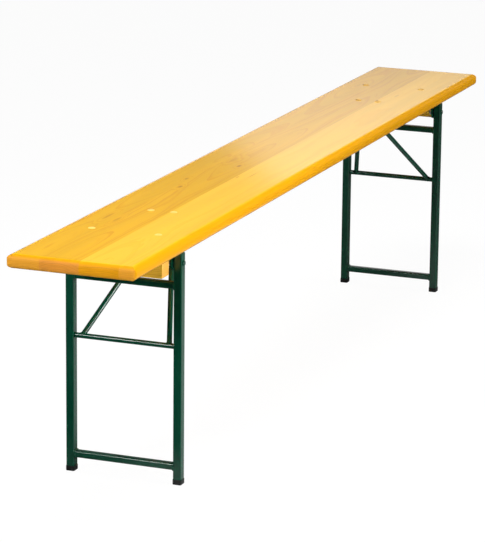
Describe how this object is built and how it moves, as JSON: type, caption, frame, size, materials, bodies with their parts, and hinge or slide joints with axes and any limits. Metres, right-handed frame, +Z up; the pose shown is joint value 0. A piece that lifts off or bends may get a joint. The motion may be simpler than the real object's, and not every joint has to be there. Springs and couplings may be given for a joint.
{
  "type": "folding bench",
  "caption": "Long narrow folding bench: lacquered pine seat board on two tubular steel leg frames that fold in under it, each held by a sprung brace.",
  "frame": {"origin": "on the floor under the middle of the seat", "axes": "+X along the bench to its right-hand end, +Y across it to the rear, +Z up"},
  "size_m": [2, 0.25, 0.469],
  "materials": {
    "amber_pine": "glossy lacquered pine, golden orange",
    "pale_pine": "glossy lacquered pine, clear yellow",
    "batten_pine": "lacquered pine",
    "green_steel": "dark green glossy powder coat",
    "bright_heads": "bright zinc plate",
    "zinc_steel": "zinc plate",
    "spring_steel": "blued spring steel",
    "cap_plastic": "black moulded plastic",
    "washer_plastic": "natural nylon"
  },
  "bodies": {
    "seat": {"seat_stave_rear": "amber_pine", "seat_stave_rear_middle": "amber_pine", "seat_stave_front_middle": "pale_pine", "seat_stave_front": "pale_pine", "batten_left": "batten_pine", "batten_screws_left": "zinc_steel", "hinge_strap_left": "green_steel", "hinge_strap_bolts_left": "bright_heads", "hinge_strap_nuts_left": "zinc_steel", "pivot_bolts_left": "green_steel", "pivot_nuts_left": "zinc_steel", "pivot_washers_left": "washer_plastic", "catch_plate_left": "green_steel", "catch_bolts_left": "bright_heads", "catch_nuts_left": "zinc_steel", "catch_spring_rivet_left": "zinc_steel", "batten_right": "batten_pine", "batten_screws_right": "zinc_steel", "hinge_strap_right": "green_steel", "hinge_strap_bolts_right": "bright_heads", "hinge_strap_nuts_right": "zinc_steel", "pivot_bolts_right": "green_steel", "pivot_nuts_right": "zinc_steel", "pivot_washers_right": "washer_plastic", "catch_plate_right": "green_steel", "catch_bolts_right": "bright_heads", "catch_nuts_right": "zinc_steel", "catch_spring_rivet_right": "zinc_steel"},
    "leg_left": {"upright_front_left": "green_steel", "upright_rear_left": "green_steel", "upper_rail_left": "green_steel", "lower_rail_left": "green_steel", "foot_cap_front_left": "cap_plastic", "foot_cap_rear_left": "cap_plastic"},
    "brace_left": {"brace_axle_left": "green_steel", "brace_bow_left": "green_steel"},
    "catch_spring_left": {"catch_spring_left": "spring_steel"},
    "leg_right": {"upright_front_right": "green_steel", "upright_rear_right": "green_steel", "upper_rail_right": "green_steel", "lower_rail_right": "green_steel", "foot_cap_front_right": "cap_plastic", "foot_cap_rear_right": "cap_plastic"},
    "brace_right": {"brace_axle_right": "green_steel", "brace_bow_right": "green_steel"},
    "catch_spring_right": {"catch_spring_right": "spring_steel"}
  },
  "joints": [
    {"name": "leg_left_fold", "type": "hinge", "parent": "seat", "child": "leg_left", "pos_m": [-0.761, 0, 0.42], "axis": [0, -1, 0], "range_deg": [0, 90], "deforming": ["catch_spring_left"]},
    {"name": "brace_left_swing", "type": "hinge", "parent": "leg_left", "child": "brace_left", "pos_m": [-0.761, 0, 0.262], "axis": [0, 1, 0], "range_deg": [0, 129.2]},
    {"name": "catch_left_press", "type": "hinge", "parent": "seat", "child": "catch_spring_left", "pos_m": [-0.5965, 0, 0.4384], "axis": [0, 1, 0], "range_deg": [0, 8], "stiffness_Nm_per_rad": 0.6, "springref_deg": -5.73},
    {"name": "leg_right_fold", "type": "hinge", "parent": "seat", "child": "leg_right", "pos_m": [0.761, 0, 0.42], "axis": [0, 1, 0], "range_deg": [0, 90], "deforming": ["catch_spring_right"]},
    {"name": "brace_right_swing", "type": "hinge", "parent": "leg_right", "child": "brace_right", "pos_m": [0.761, 0, 0.262], "axis": [0, -1, 0], "range_deg": [0, 129.2]},
    {"name": "catch_right_press", "type": "hinge", "parent": "seat", "child": "catch_spring_right", "pos_m": [0.5965, 0, 0.4384], "axis": [0, -1, 0], "range_deg": [0, 8], "stiffness_Nm_per_rad": 0.6, "springref_deg": -5.73}
  ],
  "couplings": [
    {"joint": "brace_left_swing", "follows": "leg_left_fold", "ratio": 1.4347},
    {"joint": "brace_right_swing", "follows": "leg_right_fold", "ratio": 1.4347}
  ]
}
